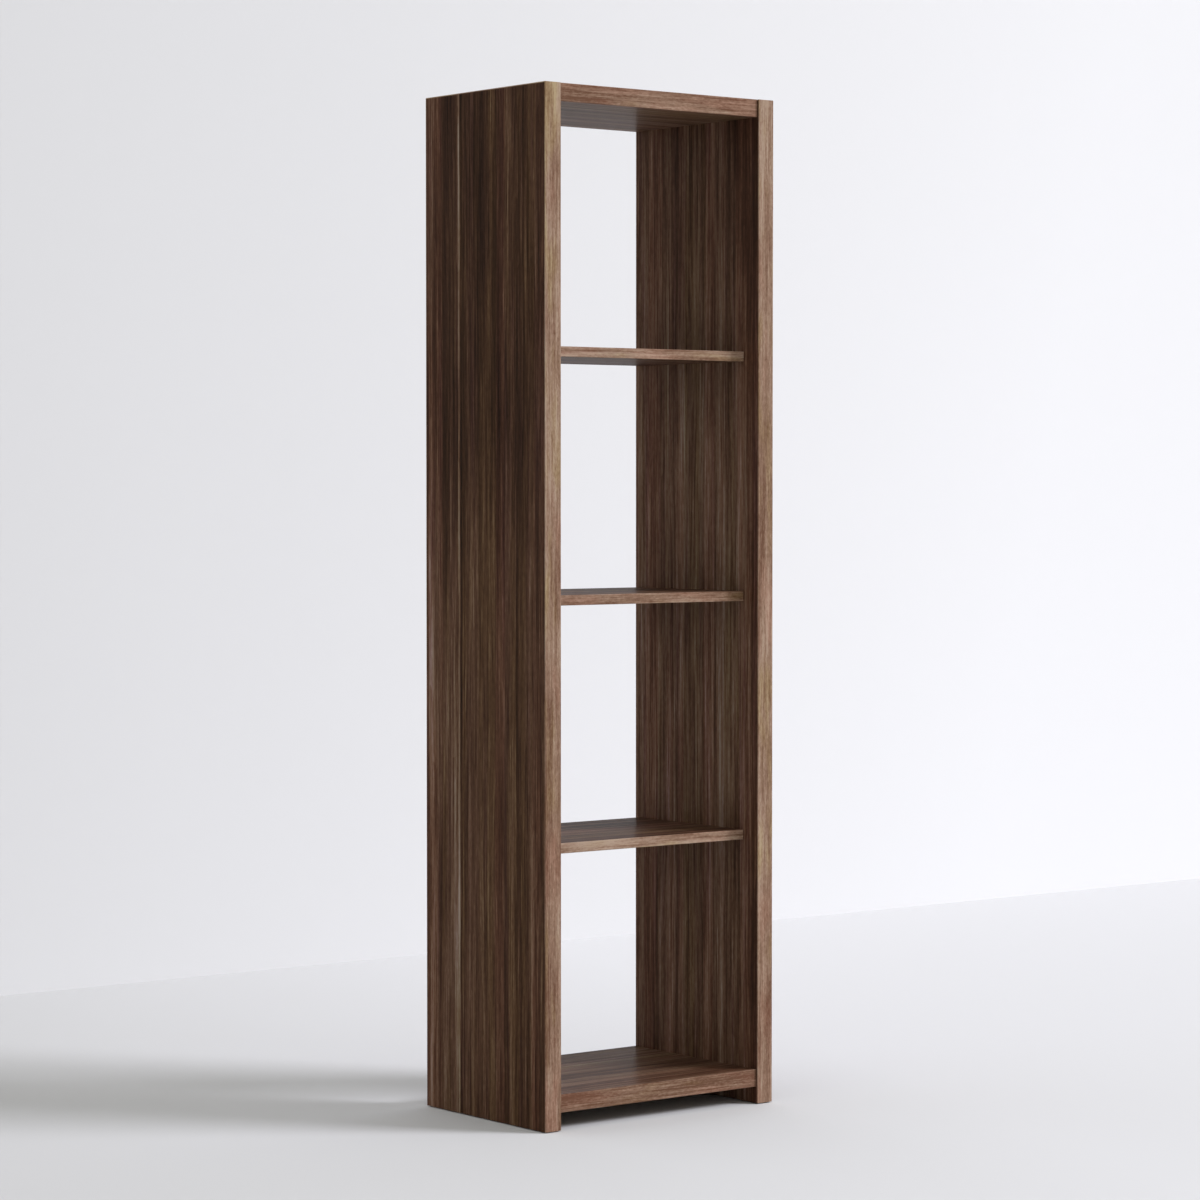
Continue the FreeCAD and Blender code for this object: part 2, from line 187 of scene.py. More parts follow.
class StageSettings(bpy.types.PropertyGroup):
    """The floor, the wall behind, the light and the camera."""

    # The floor and wall colours hold painted light: lit near the key light, painted shade away from it
    floor: colour_setting("Floor", "Colour of the floor near the key light", srgb(225, 225, 228))
    painted_shade_floor: colour_setting("Far floor", "Colour of the floor away from it", srgb(204, 204, 205))
    wall: colour_setting("Wall", "Colour of the wall near the key light", srgb(235, 235, 238))
    painted_shade_wall: colour_setting("Far wall", "Colour of the wall away from it", srgb(214, 214, 216))
    beyond: colour_setting("Beyond", "Colour behind the end of the floor", srgb(222, 222, 225))
    wall_distance: length_setting("Wall distance", "From the bookcase's middle to the wall", 2.1)
    sky: FloatProperty(
        name="Room light", description="Strength of the even light of the room", default=0.615, min=0
    )
    sky_colour: colour_setting("Room light colour", "Of the even light of the room", (1.0, 1.0, 0.90))
    key: FloatProperty(
        name="Key light", description="Strength of the soft light from the right", default=2.27, min=0
    )
    key_colour: colour_setting("Key light colour", "Of the light from the right", (1.0, 1.0, 1.08))
    key_turn: FloatProperty(
        name="Key turn",
        description="From the front round to the right",
        default=math.radians(45),
        subtype="ANGLE",
    )
    key_rise: FloatProperty(
        name="Key rise", description="Above the floor", default=math.radians(34), subtype="ANGLE"
    )
    key_spread: FloatProperty(
        name="Key spread",
        description="How wide the key light looks, which softens its shadows",
        default=math.radians(20),
        subtype="ANGLE",
    )


class BookcaseSettings(bpy.types.PropertyGroup):
    """All the settings of the bookcase."""

    veneer: PointerProperty(type=VeneerSettings)
    edging: PointerProperty(type=EdgingSettings)
    fittings: PointerProperty(type=FittingSettings)
    stage: PointerProperty(type=StageSettings)


def settings():
    return bpy.context.scene.bookcase


# Shader building


# How much fine detail noise has, little in broad shapes and more in grain, and how strong it is
SOFT_DETAIL = 1.0
FINE_DETAIL = 2.0
DETAIL_ROUGHNESS = 0.55


class Signal:
    """An output of a shader node. Arithmetic on it adds Math nodes to its finish."""

    def __init__(self, finish, output):
        self.finish = finish
        self.output = output

    def math(self, operation, first, second=0.0):
        return self.finish.node("ShaderNodeMath", {"operation": operation}, {0: first, 1: second})

    def __add__(self, other):
        return self.math("ADD", self, other)

    def __radd__(self, other):
        return self.math("ADD", other, self)

    def __sub__(self, other):
        return self.math("SUBTRACT", self, other)

    def __rsub__(self, other):
        return self.math("SUBTRACT", other, self)

    def __mul__(self, other):
        return self.math("MULTIPLY", self, other)

    def __rmul__(self, other):
        return self.math("MULTIPLY", other, self)

    def __truediv__(self, other):
        return self.math("DIVIDE", self, other)

    def __lt__(self, other):
        return self.math("LESS_THAN", self, other)

    def __abs__(self):
        return self.math("ABSOLUTE", self)

    def __floor__(self):
        return self.math("FLOOR", self)


class Shading:
    """The nodes of a material or world under construction, with one method that adds any node."""

    def __init__(self, owner):
        owner.use_nodes = True
        self.owner = owner
        self.tree = owner.node_tree
        self.tree.nodes.clear()

    def node(self, kind, options, inputs, output=0):
        made = self.tree.nodes.new(kind)
        for option, value in options.items():
            if option == "stops":
                self.set_stops(made.color_ramp, value)
            else:
                setattr(made, option, value)
        for socket, value in inputs.items():
            if isinstance(value, Signal):
                self.tree.links.new(value.output, made.inputs[socket])
            else:
                made.inputs[socket].default_value = value
        return Signal(self, made.outputs[output]) if made.outputs else None

    @staticmethod
    def set_stops(ramp, stops):
        """Fills a colour ramp with (place, colour) pairs."""
        while len(ramp.elements) < len(stops):
            ramp.elements.new(1.0)
        for element, (place, colour) in zip(ramp.elements, stops):
            element.position = place
            element.color = opaque(colour)

    def surface(self, inputs):
        """Ends a material in one Principled surface."""
        shader = self.node("ShaderNodeBsdfPrincipled", {}, inputs)
        self.node("ShaderNodeOutputMaterial", {}, {"Surface": shader})
        return self.owner

    def place(self):
        """Where on the bookcase a point lies."""
        return self.node("ShaderNodeTexCoord", {}, {}, "Object")

    def part(self, vector, axis):
        return self.node("ShaderNodeSeparateXYZ", {}, {0: vector}, axis)

    def along(self, vector, direction):
        """How far a vector reaches along a direction."""
        options = {"operation": "DOT_PRODUCT"}
        return self.node("ShaderNodeVectorMath", options, {0: vector, 1: direction}, "Value")

    def scaled(self, vector, factors):
        return self.node("ShaderNodeVectorMath", {"operation": "MULTIPLY"}, {0: vector, 1: factors})

    def moved(self, vector, offset):
        return self.node("ShaderNodeVectorMath", {"operation": "ADD"}, {0: vector, 1: offset})

    def noise(self, vector, seed, detail, output="Fac"):
        options = {"noise_dimensions": "4D"}
        inputs = {
            "Vector": vector,
            "W": seed,
            "Scale": 1.0,
            "Detail": detail,
            "Roughness": DETAIL_ROUGHNESS,
        }
        return self.node("ShaderNodeTexNoise", options, inputs, output)

    def chance(self, number):
        """A random colour for each whole number."""
        return self.node("ShaderNodeTexWhiteNoise", {"noise_dimensions": "1D"}, {"W": number}, "Color")

    def blend(self, factor, first, second, blend_type="MIX"):
        options = {"data_type": "RGBA", "blend_type": blend_type}
        inputs = {MIX_FACTOR: factor, MIX_FIRST: first, MIX_SECOND: second}
        return self.node("ShaderNodeMix", options, inputs, MIX_RESULT)

    def tinted(self, colour, factor, tint):
        """The colour, multiplied by the tint where factor is 1."""
        return self.blend(factor, colour, opaque(tint), "MULTIPLY")

    def ramp(self, value, stops):
        return self.node("ShaderNodeValToRGB", {"stops": stops}, {0: value})

    def rise(self, value, low, high):
        """0 below low, 1 above high, and a smooth rise between."""
        inputs = {"Value": value, "From Min": low, "From Max": high}
        return self.node("ShaderNodeMapRange", {"interpolation_type": "SMOOTHSTEP"}, inputs)

    def bump(self, height, strength, distance):
        inputs = {"Strength": strength, "Distance": distance, "Height": height}
        return self.node("ShaderNodeBump", {}, inputs)


def new_material(name):
    return Shading(bpy.data.materials.new(name))


# Wood


def grain_scale(grain, width, length):
    """Factors that make noise of unit size into streaks of that width and length along the grain."""
    factors = [1 / width] * 3
    factors[grain] = 1 / length
    return factors


class Wood(Shading):
    """A finish whose streaks run along one axis of the bookcase."""

    # Each layer of the grain has noise of its own
    LAYERS = (
        "meander", "strip", "band", "ring", "streak", "line",
        "fleck", "cloud", "pore", "cast", "plum", "fade",
    )
    LAYER_STEP = 2.3

    # How far the grain meanders, and how wide and long its bends are
    MEANDER = 0.014
    MEANDER_WIDTH = 0.07
    MEANDER_LENGTH = 0.7

    # How much the growth slants through a board
    TILT = 0.6

    # How many strips change in width together, and over what length
    STRIP_GROUP = 3.0
    STRIP_LENGTH = 4.0

    # How many rings the growth wavers by, and how wide and long its waves are
    RING_WAVER = 9.0
    RING_WAVE_WIDTH = 0.04
    RING_WAVE_LENGTH = 0.6

    # The noise at which a pore begins, and at which it is fully open
    PORE_START = 0.08
    PORE_FULL = 0.2

    # The shine of bare wood and of its lacquer, what the pores take away, and how the grain shows
    BARE_SPECULAR = 0.02
    LACQUER_ROUGHNESS = 0.25
    LACQUER_IOR = 1.3
    PORE_LOSS = 0.5
    PORE_DEPTH = 0.5
    GRAIN_ROUGHNESS = 0.2
    GRAIN_BUMP = 0.15
    GRAIN_DEPTH = 0.0003

    def __init__(self, name, grain, seed):
        super().__init__(bpy.data.materials.new(name))
        self.grain = grain
        self.seed = seed
        self.here = self.place()
        wander = self.scaled(self.here, grain_scale(grain, self.MEANDER_WIDTH, self.MEANDER_LENGTH))
        swing = self.noise(wander, self.layer_seed("meander"), SOFT_DETAIL, "Color")
        reach = [self.MEANDER] * 3
        reach[grain] = 0.0
        self.fibre = self.moved(self.here, self.scaled(self.moved(swing, (-0.5, -0.5, -0.5)), reach))

    def layer_seed(self, layer):
        return self.seed + self.LAYER_STEP * self.LAYERS.index(layer)

    def streaks(self, layer, width, length, detail=FINE_DETAIL):
        """Noise about 0, drawn out along the grain."""
        drawn = self.scaled(self.fibre, grain_scale(self.grain, width, length))
        return self.noise(drawn, self.layer_seed(layer), detail) - 0.5

    def across(self):
        """How far across the grain a point lies: from front to rear, slanting through the board."""
        slant = [self.TILT] * 3
        slant[self.grain] = 0.0
        slant[Y] = 1.0
        return self.along(self.fibre, slant)

    def strips(self, width):
        """Strips of even tone with sharp edges: two independent values about 0 for each strip."""
        group_width = self.STRIP_GROUP * width
        spread = self.streaks("strip", group_width, self.STRIP_LENGTH, SOFT_DETAIL)
        number = math.floor(self.across() / width + self.STRIP_GROUP * spread)
        colour = self.chance(number + self.layer_seed("strip"))
        return self.part(colour, "X") - 0.5, self.part(colour, "Y") - 0.5

    def rings(self, spacing):
        """Growth rings cut lengthwise: each falls from 0.5 at one edge to -0.5 at the next."""
        waves = self.streaks("ring", self.RING_WAVE_WIDTH, self.RING_WAVE_LENGTH, SOFT_DETAIL)
        turns = self.across() / spacing + self.RING_WAVER * waves
        return 0.5 - (turns - math.floor(turns))

    def pores(self, width, length):
        """1 in the open pores, 0 between them."""
        openness = self.streaks("pore", width, length, SOFT_DETAIL)
        return self.rise(openness, self.PORE_START, self.PORE_FULL)

    def between(self, value, low, high, soft):
        """1 from low to high, and 0 outside, with soft ends."""
        past_low = self.rise(value, low - soft, low + soft)
        past_high = self.rise(value, high - soft, high + soft)
        return past_low * (1 - past_high)

    def lacquered(self, colour, roughness, gloss, lines, pores):
        """Ends the finish as wood under a thin satin lacquer, with its pores open."""
        return self.surface({
            "Base Color": colour,
            "Roughness": roughness + self.GRAIN_ROUGHNESS * lines,
            "Specular IOR Level": self.BARE_SPECULAR,
            "Coat Weight": gloss * (1 - self.PORE_LOSS * pores),
            "Coat Roughness": self.LACQUER_ROUGHNESS,
            "Coat IOR": self.LACQUER_IOR,
            "Normal": self.bump(lines - self.PORE_DEPTH * pores, self.GRAIN_BUMP, self.GRAIN_DEPTH),
        })


# A stripe on one face of a side, most in the veneer and a few, marked below, bands of painted shade: how
# far from the rear edge, half its width, how much lighter it is, and the heights it runs between
Stripe = namedtuple("Stripe", "from_rear half_width lift low high")
FULL_HEIGHT = (-1.0, 3.0)

# One face of a side: how much lighter it is than usual, on the inner faces by painted light, how much
# redder, and its stripes: those in its leaves and its bands of painted shade
Face = namedtuple("Face", "lift redness stripes")

OUTER_STRIPES_AND_SHADE = (
    # Painted shade: the whole outer face darker above 1.22 m
    Stripe(0.195, 0.400, -0.14, 1.22, 3.0),
    Stripe(0.017, 0.008, 0.26, *FULL_HEIGHT),
    Stripe(0.055, 0.012, -0.08, -1.0, 0.70),
    Stripe(0.076, 0.020, -0.20, 1.05, 3.0),
    Stripe(0.098, 0.014, 0.05, -1.0, 0.70),
    Stripe(0.111, 0.0028, 0.32, *FULL_HEIGHT),
    Stripe(0.119, 0.0035, -0.26, *FULL_HEIGHT),
    Stripe(0.135, 0.011, -0.09, *FULL_HEIGHT),
    Stripe(0.148, 0.006, 0.19, 0.25, 0.75),
    Stripe(0.172, 0.018, -0.10, 1.50, 3.0),
    Stripe(0.209, 0.005, 0.12, 0.40, 0.95),
    Stripe(0.240, 0.012, -0.09, *FULL_HEIGHT),
    Stripe(0.280, 0.014, 0.16, 1.35, 3.0),
    Stripe(0.285, 0.016, 0.12, -1.0, 1.30),
    Stripe(0.302, 0.005, -0.20, 0.55, 1.10),
    Stripe(0.335, 0.009, -0.07, -1.0, 1.30),
    Stripe(0.348, 0.007, 0.16, -1.0, 0.70),
    Stripe(0.370, 0.016, -0.15, -1.0, 1.20),
    Stripe(0.384, 0.010, -0.10, 1.10, 3.0),
)
INNER_STRIPES_AND_SHADE = (
    # Painted shade: the whole inner face darker above 1.6 m and below 0.45 m
    Stripe(0.195, 0.400, -0.09, 1.60, 3.0),
    Stripe(0.195, 0.400, -0.05, -1.0, 0.45),
    Stripe(0.025, 0.012, 0.06, *FULL_HEIGHT),
    Stripe(0.066, 0.012, -0.13, -1.0, 0.60),
    Stripe(0.106, 0.008, 0.13, *FULL_HEIGHT),
    Stripe(0.120, 0.004, -0.08, *FULL_HEIGHT),
    Stripe(0.155, 0.014, 0.12, *FULL_HEIGHT),
    Stripe(0.187, 0.012, 0.09, -1.0, 1.20),
    Stripe(0.252, 0.010, -0.08, -1.0, 1.60),
    Stripe(0.278, 0.009, 0.10, -1.0, 1.50),
    Stripe(0.320, 0.010, 0.05, -1.0, 1.50),
    Stripe(0.335, 0.030, -0.13, 1.60, 3.0),
    # Painted shadow: a dark band near the front edge of the inner face
    Stripe(0.377, 0.010, -0.15, *FULL_HEIGHT),
)
OUTER_FACE = Face(-0.03, 0.0, OUTER_STRIPES_AND_SHADE)
# The inner faces are lighter by painted light, as of light thrown back inside the case
INNER_FACE = Face(0.14, 0.2, INNER_STRIPES_AND_SHADE)

# How softly a stripe ends: in metres along it, and as a share of its half width across it
STRIPE_END = 0.2
STRIPE_SOFT = 0.5

# How strong a stripe is, how much it fades in places, and how wide and long these are
STRIPE_STRENGTH = 0.9
FADE = 1.2
FADE_WIDTH = 0.05
FADE_LENGTH = 0.4


def stripe_tone(wood, stripes):
    """What the stripes and the bands of painted shade on a face of an upright board add to its tone."""
    rear = CAD_BOX[1].y
    across = wood.part(wood.here, "Y")
    height = wood.part(wood.here, "Z")
    total = 0.0
    for stripe in stripes:
        off_centre = abs(across - (rear - stripe.from_rear))
        soft = STRIPE_SOFT * stripe.half_width
        on_stripe = 1 - wood.rise(off_centre, stripe.half_width - soft, stripe.half_width + soft)
        in_reach = wood.between(height, stripe.low, stripe.high, STRIPE_END)
        total = total + stripe.lift * on_stripe * in_reach
    fade = wood.streaks("fade", FADE_WIDTH, FADE_LENGTH, SOFT_DETAIL)
    return total * (STRIPE_STRENGTH + FADE * fade)


def side_look(wood, node, left_face, right_face):
    """How much lighter and redder a side is than usual, on its left-hand and right-hand face, painted
    light and shade included.
    """
    low, high = node_span(node, X)
    on_left = wood.part(wood.here, "X") < (low + high) / 2
    left_tone = left_face.lift + stripe_tone(wood, left_face.stripes)
    right_tone = right_face.lift + stripe_tone(wood, right_face.stripes)
    lift = right_tone + on_left * (left_tone - right_tone)
    redness = right_face.redness + on_left * (left_face.redness - right_face.redness)
    return lift, redness


# Detail of the broad bands in the veneer
BAND_DETAIL = 1.5

# The noise at which a tint of the veneer, of its greyest streaks and of the edging is full
VENEER_FULL_CAST = 0.5
VENEER_FULL_PLUM = 0.25
EDGING_FULL_CAST = 0.2

# How much of the painted light that climbs along an upright strip also makes it less red
PAINTED_CLIMB_CAST = 0.5


def veneer_finish(wood, gloss, lift, redness=0.0):
    """Striped walnut veneer. lift and redness, numbers or signals, make it lighter and redder."""
    look = settings().veneer
    strip_tone, strip_cast = wood.strips(look.strip_width)
    lines = wood.streaks("line", look.line_width, look.line_length)
    pores = wood.pores(look.pore_width, look.pore_length)
    tone = look.tone + lift + look.strip_contrast * strip_tone
    bands = wood.streaks("band", look.band_width, look.band_length, BAND_DETAIL)
    tone = tone + look.band_contrast * bands
    tone = tone + look.ring_contrast * wood.rings(look.ring_spacing)
    tone = tone + look.streak_contrast * wood.streaks("streak", look.streak_width, look.streak_length)
    tone = tone + look.fleck_contrast * wood.streaks("fleck", look.fleck_width, look.fleck_length)
    tone = tone + look.line_contrast * lines - look.pore_contrast * pores
    colour = wood.ramp(tone, [
        (0.0, look.deepest), (0.3, look.dark), (0.5, look.ground), (0.7, look.light), (1.0, look.palest),
    ])
    streak_cast = wood.streaks("cast", look.cast_width, look.cast_length, SOFT_DETAIL)
    cast = strip_cast + look.cast_contrast * streak_cast + redness
    colour = wood.tinted(colour, wood.rise(cast, 0.0, VENEER_FULL_CAST), look.red)
    colour = wood.tinted(colour, wood.rise(0 - cast, 0.0, VENEER_FULL_CAST), look.olive)
    plum = wood.streaks("plum", look.plum_width, look.plum_length, SOFT_DETAIL)
    colour = wood.tinted(colour, wood.rise(plum, 0.0, VENEER_FULL_PLUM), look.plum)
    return wood.lacquered(colour, look.roughness, gloss, lines, pores)


def edging_finish(name, grain, seed, lift, redness=0.0, painted_climb=0.0):
    """Lighter solid walnut with short grain, honey and rose in patches. lift and redness make it lighter
    and redder. Painted light makes the top of an upright strip lighter, and less red, than its foot, by
    the given amount."""
    look = settings().edging
    wood = Wood(name, grain, seed)
    lines = wood.streaks("line", look.line_width, look.line_length)
    pores = wood.pores(look.pore_width, look.pore_length)
    # Painted light: the strip grows lighter toward its top
    painted_rise = painted_climb * (wood.part(wood.here, "Z") / CAD_BOX[1].z - 0.5)
    tone = look.tone + lift + painted_rise
    clouds = wood.streaks("cloud", look.cloud_width, look.cloud_length, SOFT_DETAIL)
    tone = tone + look.cloud_contrast * clouds
    tone = tone + look.streak_contrast * wood.streaks("streak", look.streak_width, look.streak_length)
    tone = tone + look.fleck_contrast * wood.streaks("fleck", look.fleck_width, look.fleck_length)
    tone = tone + look.line_contrast * lines - look.pore_contrast * pores
    colour = wood.ramp(tone, [(0.1, look.dark), (0.5, look.middle), (0.9, look.light)])
    cast = wood.streaks("cast", look.cast_width, look.cast_length) + redness - PAINTED_CLIMB_CAST * painted_rise
    colour = wood.tinted(colour, wood.rise(cast, 0.0, EDGING_FULL_CAST), look.rose)
    colour = wood.tinted(colour, wood.rise(0 - cast, 0.0, EDGING_FULL_CAST), look.honey)
    return wood.lacquered(colour, look.roughness, look.gloss, lines, pores)


# How much lighter and redder than usual the edging of the level boards is
EDGING_LIFTS = {
    "top": -0.22,
    "upper_shelf": 0.10,
    "middle_shelf": -0.08,
    "lower_shelf": 0.02,
    "bottom": -0.26,
}
LEVEL_REDNESS = 0.05

# How much lighter than usual the edging of the sides is, and how much painted light makes it lighter at
# its top than its foot
SIDE_EDGING_LIFT = 0.03
SIDE_EDGING_PAINTED_CLIMBS = {"left": 0.32, "right": 0.1}

# How much lighter than usual the veneer of the top and the bottom is: on the top, painted light that
# brightens its underside
CASE_PAINTED_LIFTS = {"top": 0.10, "bottom": 0.0}

# Seeds of the noise, so that each board and strip has a grain of its own
SIDE_SEEDS = {"left": 3.0, "right": 64.0}
CASE_SEEDS = {"top": 100.0, "bottom": 150.0}
FIRST_SHELF_SEED = 200.0
FIRST_SIDE_EDGING_SEED = 4.6
FIRST_LEVEL_EDGING_SEED = 333.6
SEED_STEP = 50.0


# Fittings


# Bloom on metal: its clouds per metre, how dark they are and how much they change the roughness
BLOOM_SCALE = (600, 600, 600)
BLOOM_SEED = 3.0
BLOOM_DETAIL = 3.0
BLOOM_SHADE = 0.85
BLOOM_ROUGHNESS = 0.2

# The skin of nylon: its bumps per metre, its darkest and lightest shade, and how they catch the light
SKIN_SCALE = (1500, 1500, 1500)
SKIN_SEED = 5.0
SKIN_DARKEST = 0.8
SKIN_LIGHTEST = 1.2
SKIN_ROUGHNESS = 0.2
SKIN_BUMP = 0.15
SKIN_DEPTH = 0.0001

# Flecks in beech: their width, length and shade
BEECH_SEED = 71.0
BEECH_FLECK_WIDTH = 0.0008
BEECH_FLECK_LENGTH = 0.006
BEECH_FLECK_SHADE = 0.6


def metal_finish(name, colour, roughness):
    """Plated or cast metal with a faint cloudy bloom."""
    metal = new_material(name)
    bloom = metal.noise(metal.scaled(metal.place(), BLOOM_SCALE), BLOOM_SEED, BLOOM_DETAIL)
    shade = metal.blend(bloom, opaque(dimmed(colour, BLOOM_SHADE)), opaque(colour))
    return metal.surface({
        "Base Color": shade,
        "Metallic": 1.0,
        "Roughness": roughness + BLOOM_ROUGHNESS * (bloom - 0.5),
    })


def nylon_finish(name, colour, roughness):
    """Moulded nylon with a fine eggshell skin."""
    nylon = new_material(name)
    skin = nylon.noise(nylon.scaled(nylon.place(), SKIN_SCALE), SKIN_SEED, FINE_DETAIL)
    darkest, lightest = dimmed(colour, SKIN_DARKEST), dimmed(colour, SKIN_LIGHTEST)
    shade = nylon.blend(skin, opaque(darkest), opaque(lightest))
    return nylon.surface({
        "Base Color": shade,
        "Roughness": roughness + SKIN_ROUGHNESS * (skin - 0.5),
        "Normal": nylon.bump(skin, SKIN_BUMP, SKIN_DEPTH),
    })


def beech_finish(name, colour, roughness):
    """Pale beech with short dark flecks along the dowel."""
    wood = Wood(name, X, BEECH_SEED)
    flecks = wood.streaks("fleck", BEECH_FLECK_WIDTH, BEECH_FLECK_LENGTH)
    shade = wood.ramp(flecks + 0.5, [(0.3, dimmed(colour, BEECH_FLECK_SHADE)), (0.5, colour)])
    return wood.surface({"Base Color": shade, "Roughness": roughness})


# Nodes of the model


def node_span(node, axis):
    """Where a CAD node begins and ends along an axis."""
    places = [corner[axis] for corner in bpy.data.objects[node].bound_box]
    return min(places), max(places)


def dress(nodes, material):
    """Gives CAD nodes one material in all their slots."""
    for node in nodes:
        mesh = bpy.data.objects[node].data
        mesh.materials.clear()
        mesh.materials.append(material)


# Operators, one for each group of like pieces


class BOOKCASE_OT_side_panels(bpy.types.Operator):
    """Veneers the two sides, each from its own leaves, with the grain upright"""

    bl_idname = "bookcase.side_panels"
    bl_label = "Side panels"

    def execute(self, context):
        sides = (("left", OUTER_FACE, INNER_FACE), ("right", INNER_FACE, OUTER_FACE))
        for end, left_face, right_face in sides:
            node = f"{end}_side_panel"
            wood = Wood(f"walnut_{end}_side", Z, SIDE_SEEDS[end])
            look = side_look(wood, node, left_face, right_face)
            dress([node], veneer_finish(wood, settings().veneer.side_gloss, *look))
        return {"FINISHED"}


class BOOKCASE_OT_case_panels(bpy.types.Operator):
    """Veneers the top and the bottom, with the grain from side to side"""

    bl_idname = "bookcase.case_panels"
    bl_label = "Top and bottom"

    def execute(self, context):
        look = settings().veneer
        for panel, gloss in (("top", look.top_gloss), ("bottom", look.shelf_gloss)):
            wood = Wood(f"walnut_{panel}", X, CASE_SEEDS[panel])
            dress([f"{panel}_panel"], veneer_finish(wood, gloss, CASE_PAINTED_LIFTS[panel]))
        return {"FINISHED"}


class BOOKCASE_OT_shelves(bpy.types.Operator):
    """Veneers the three shelves, with the grain from side to side"""

    bl_idname = "bookcase.shelves"
    bl_label = "Shelves"

    def execute(self, context):
        for number, name in enumerate(SHELVES):
            wood = Wood(f"walnut_{name}_shelf", X, FIRST_SHELF_SEED + SEED_STEP * number)
            dress([f"{name}_shelf"], veneer_finish(wood, settings().veneer.shelf_gloss, 0.0))
        return {"FINISHED"}


class BOOKCASE_OT_edging(bpy.types.Operator):
    """Finishes the edging strips, each with its grain along its length"""

    bl_idname = "bookcase.edging"
    bl_label = "Edging"

    def execute(self, context):
        seed = FIRST_SIDE_EDGING_SEED
        for end, painted_climb in SIDE_EDGING_PAINTED_CLIMBS.items():
            for place, grain in (("front", Z), ("rear", Z), ("top", Y)):
                name = f"edging_{end}_side_{place}"
                finish = edging_finish(name, grain, seed, SIDE_EDGING_LIFT, painted_climb=painted_climb)
                dress([f"{end}_side_{place}_edging"], finish)
                seed += SEED_STEP
        seed = FIRST_LEVEL_EDGING_SEED
        for owner in (*CASE_PANELS, *(f"{name}_shelf" for name in SHELVES)):
            for row in ROWS:
                name = f"edging_{owner}_{row}"
                finish = edging_finish(name, X, seed, EDGING_LIFTS[owner], LEVEL_REDNESS)
                dress([f"{owner}_{row}_edging"], finish)
                seed += SEED_STEP
        return {"FINISHED"}


class BOOKCASE_OT_fittings(bpy.types.Operator):
    """Finishes the cams, bolts, dowels, shelf pins and feet"""

    bl_idname = "bookcase.fittings"
    bl_label = "Fittings"

    def execute(self, context):
        look = settings().fittings
        corners = [f"{end}_{row}" for end in ENDS for row in ROWS]
        steel = [f"{name}_shelf_pins" for name in SHELVES]
        steel += [f"{panel}_cam_bolts" for panel in CASE_PANELS]
        steel += [f"{corner}_foot_stud" for corner in corners]
        dress(steel, metal_finish("plated_steel", look.steel, look.steel_roughness))
        cams = [f"{panel}_{corner}_cam" for panel in CASE_PANELS for corner in corners]
        dress(cams, metal_finish("die_cast_zinc", look.zinc, look.zinc_roughness))
        dress(["foot_sleeves"], metal_finish("turned_brass", look.brass, look.brass_roughness))
        pads = [f"{corner}_foot_pad" for corner in corners]
        dress(pads, nylon_finish("moulded_nylon", look.nylon, look.nylon_roughness))
        dowels = [f"{panel}_dowels" for panel in CASE_PANELS]
        dress(dowels, beech_finish("bare_beech", look.beech, look.beech_roughness))
        return {"FINISHED"}


# Studio


# Painted light on the floor and the wall: the direction in which the paint grows lighter, as light
# falling off from the key light, where that starts, and how far it takes
TOWARD_KEY = (0.94, -0.33, -0.2)
PAINT_START = -1.5
FLOOR_PAINTED_FALLOFF = 2.2
WALL_PAINTED_FALLOFF = 3.7


def stage_sheet(name, reach, place, turn, material):
    """A flat painted sheet that reaches that far each way from its middle."""
    bpy.ops.object.select_all(action="DESELECT")
    bpy.ops.mesh.primitive_plane_add(size=2 * reach, location=place, rotation=turn)
    bpy.ops.object.transform_apply()
    sheet = bpy.context.object
    sheet.name = name
    sheet.data.materials.append(material)


def paint(name, painted_shade_colour, colour, reach):
    """Matt studio paint, clear from behind, with painted light: it changes from a painted shade far from
    the key light to its lit colour over a reach toward the key light."""
    finish = new_material(name)
    # Painted light: the colour grows lighter toward the key light, as light falling off
    share = (finish.along(finish.place(), TOWARD_KEY) - PAINT_START) / reach
    shade = finish.ramp(share, [(0.0, painted_shade_colour), (1.0, colour)])
    behind = finish.node("ShaderNodeNewGeometry", {}, {}, "Backfacing")
    return finish.surface({
        "Base Color": shade,
        "Roughness": 1.0,
        "Specular IOR Level": 0.0,
        "Alpha": 1 - behind,
    })


